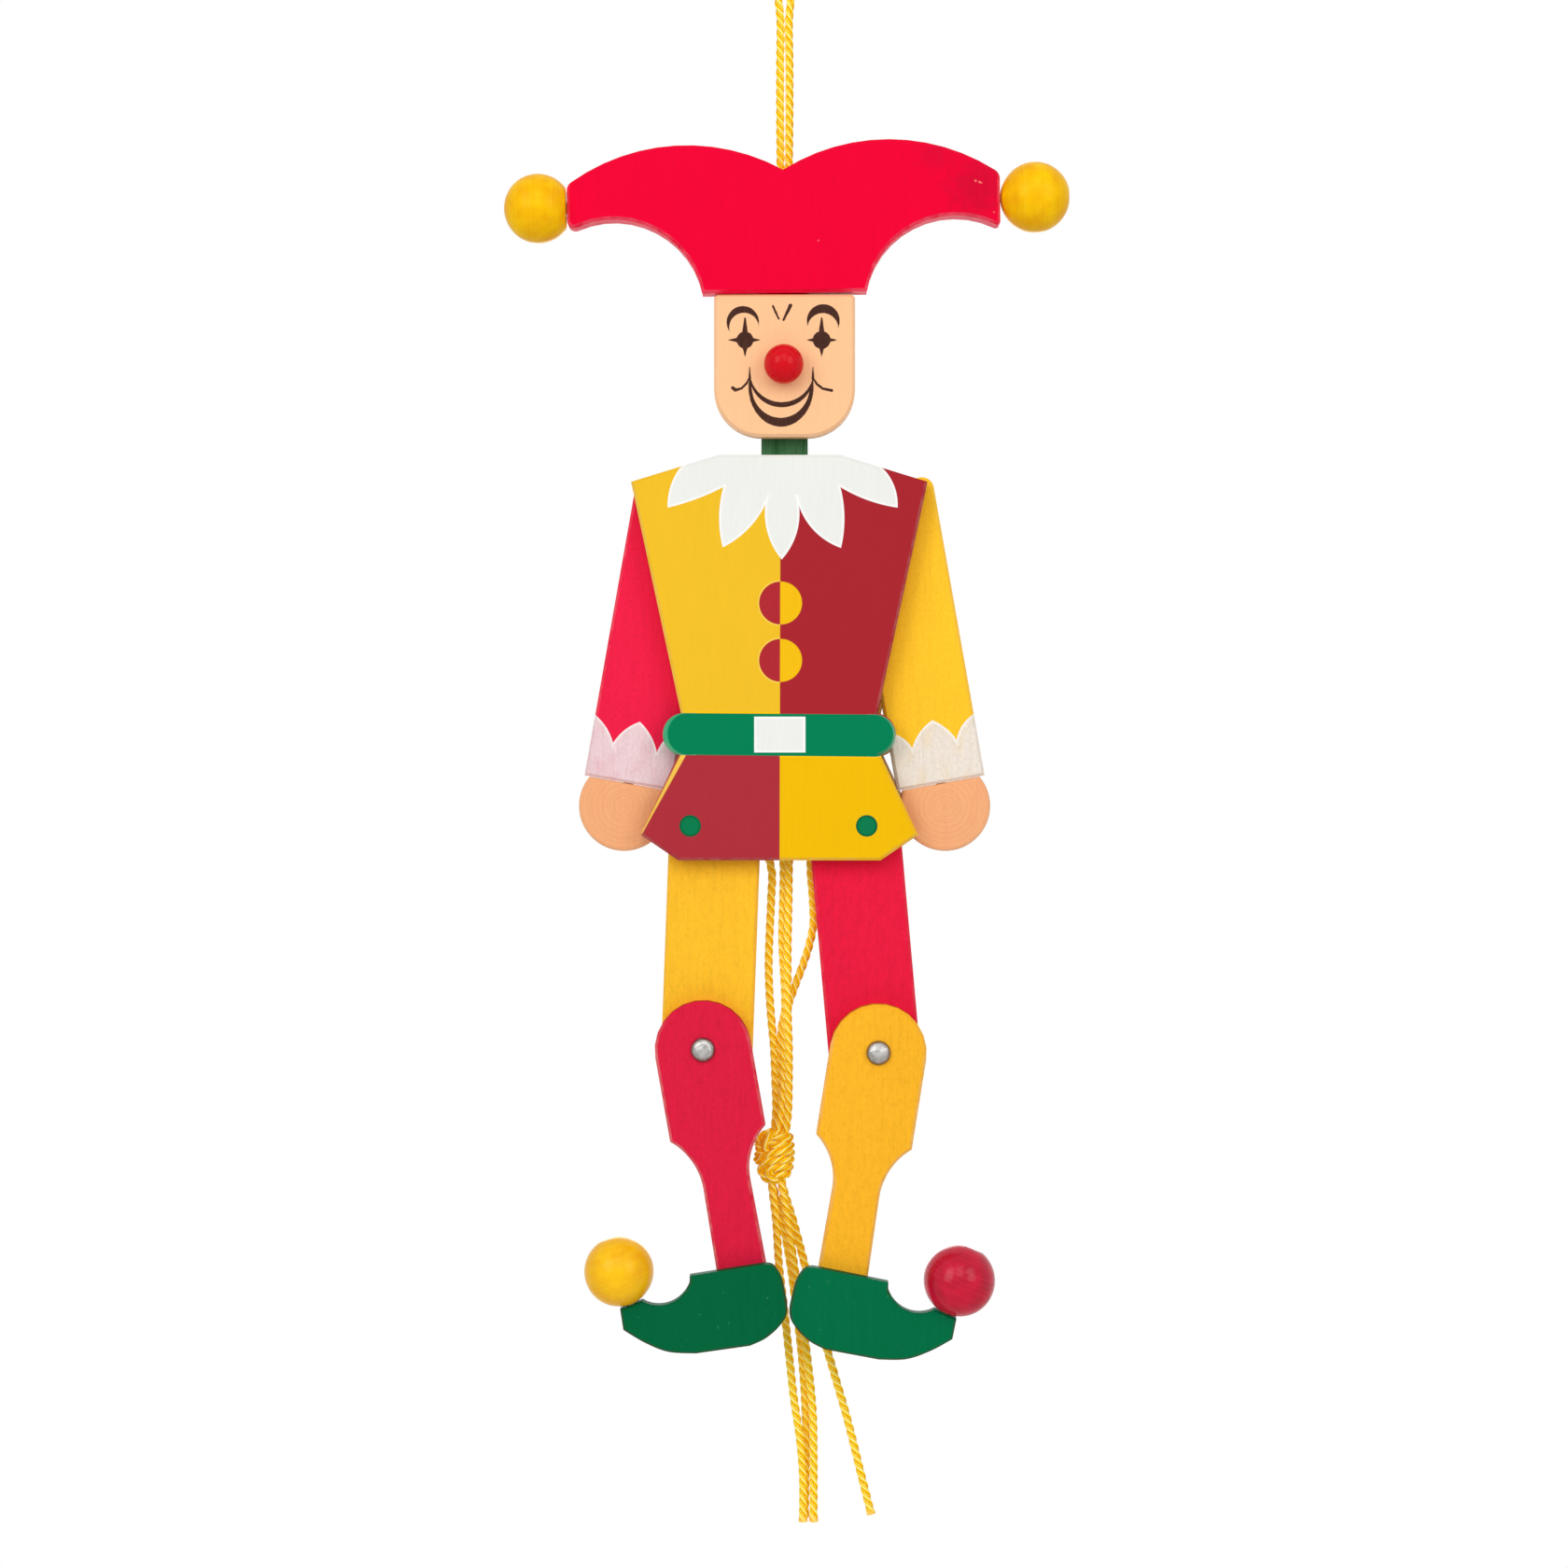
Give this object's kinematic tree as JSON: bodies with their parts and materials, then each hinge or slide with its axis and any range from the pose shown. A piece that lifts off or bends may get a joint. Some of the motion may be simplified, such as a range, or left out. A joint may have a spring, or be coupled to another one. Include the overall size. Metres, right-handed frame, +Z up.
{
  "type": "jumping jack",
  "caption": "Painted wooden jester jumping jack with bead-tipped hat and shoes, riveted knees, limbs that swing up when the knotted pull string is drawn, and a doubled hanging cord.",
  "frame": {"origin": "inside top of the hanging loop, where a hook or nail holds the toy", "axes": "+Z up, -Y the painted front, +X to the right as seen from the front"},
  "size_m": [0.1392, 0.0296, 0.3975],
  "materials": {
    "torso_paint": "satin",
    "hat_red": "satin",
    "limb_red": "satin",
    "limb_yellow": "satin",
    "green_paint": "satin",
    "skin_paint": "satin",
    "nose_red": "gloss",
    "bead_yellow": "gloss",
    "bead_dark_red": "gloss",
    "bare_wood": "matte",
    "rivet_steel": "satin",
    "gold_cord": "matte"
  },
  "bodies": {
    "torso": {"torso_front_board": "torso_paint", "torso_back_board": "bare_wood", "shoulder_dowel_left": "bare_wood", "shoulder_dowel_right": "bare_wood", "hip_dowel_left": "bare_wood", "hip_dowel_right": "bare_wood", "neck_spine": "green_paint", "face_board": "skin_paint", "nose_bead": "nose_red", "nose_pin": "bare_wood", "hat_board": "hat_red", "hat_bead_left": "bead_yellow", "hat_bead_right": "bead_yellow", "hat_pin_left": "bare_wood", "hat_pin_right": "bare_wood", "hanging_cord": "gold_cord"},
    "arm_assembly_left": {"arm_left": "limb_red", "hand_left": "skin_paint", "hand_pin_left": "bare_wood", "arm_string_knot_left": "gold_cord"},
    "thigh_assembly_left": {"thigh_left": "limb_yellow", "thigh_string_knot_left": "gold_cord", "knee_rivet_left": "rivet_steel", "knee_washer_left": "rivet_steel"},
    "foot_assembly_left": {"lower_leg_left": "limb_red", "shoe_left": "green_paint", "toe_bead_left": "bead_yellow", "toe_pin_left": "bare_wood"},
    "arm_assembly_right": {"arm_right": "limb_yellow", "hand_right": "skin_paint", "hand_pin_right": "bare_wood", "arm_string_knot_right": "gold_cord"},
    "thigh_assembly_right": {"thigh_right": "limb_red", "thigh_string_knot_right": "gold_cord", "knee_rivet_right": "rivet_steel", "knee_washer_right": "rivet_steel"},
    "foot_assembly_right": {"lower_leg_right": "limb_yellow", "shoe_right": "green_paint", "toe_bead_right": "bead_dark_red", "toe_pin_right": "bare_wood"},
    "pull_cord": {"pull_knot": "gold_cord", "pull_string_arm_left": "gold_cord", "pull_string_arm_right": "gold_cord", "pull_string_thigh_left": "gold_cord", "pull_string_thigh_right": "gold_cord", "cord_tail_1": "gold_cord", "cord_tail_2": "gold_cord", "cord_tail_3": "gold_cord", "cord_tail_4": "gold_cord"}
  },
  "joints": [
    {"name": "hip_left", "type": "hinge", "parent": "torso", "child": "thigh_assembly_left", "pos_m": [-0.0172, 0, -0.2212], "axis": [0, 1, 0], "range_deg": [0, 70]},
    {"name": "hip_right", "type": "hinge", "parent": "torso", "child": "thigh_assembly_right", "pos_m": [0.0172, 0, -0.2212], "axis": [0, -1, 0], "range_deg": [0, 70]},
    {"name": "shoulder_left", "type": "hinge", "parent": "torso", "child": "arm_assembly_left", "pos_m": [-0.0281, 0, -0.1507], "axis": [0, 1, 0], "range_deg": [0, 90]},
    {"name": "shoulder_right", "type": "hinge", "parent": "torso", "child": "arm_assembly_right", "pos_m": [0.0281, 0, -0.1507], "axis": [0, -1, 0], "range_deg": [0, 90]},
    {"name": "knee_left", "type": "hinge", "parent": "thigh_assembly_left", "child": "foot_assembly_left", "pos_m": [-0.02009, 0, -0.27693], "axis": [0, 1, 0], "range_deg": [-75, 30]},
    {"name": "knee_right", "type": "hinge", "parent": "thigh_assembly_right", "child": "foot_assembly_right", "pos_m": [0.0231, 0, -0.2777], "axis": [0, -1, 0], "range_deg": [-75, 30]},
    {"name": "pull", "type": "slide", "parent": "torso", "child": "pull_cord", "axis": [0, 0, -1], "range_m": [0, 0.01]}
  ],
  "couplings": [
    {"joint": "hip_right", "follows": "hip_left", "ratio": 1},
    {"joint": "shoulder_left", "follows": "hip_left", "ratio": 1.2857},
    {"joint": "shoulder_right", "follows": "hip_left", "ratio": 1.2857},
    {"joint": "knee_left", "follows": "hip_left", "ratio": -1},
    {"joint": "knee_right", "follows": "hip_left", "ratio": -1},
    {"joint": "pull", "follows": "hip_left", "m_per_rad": 0.00818}
  ]
}
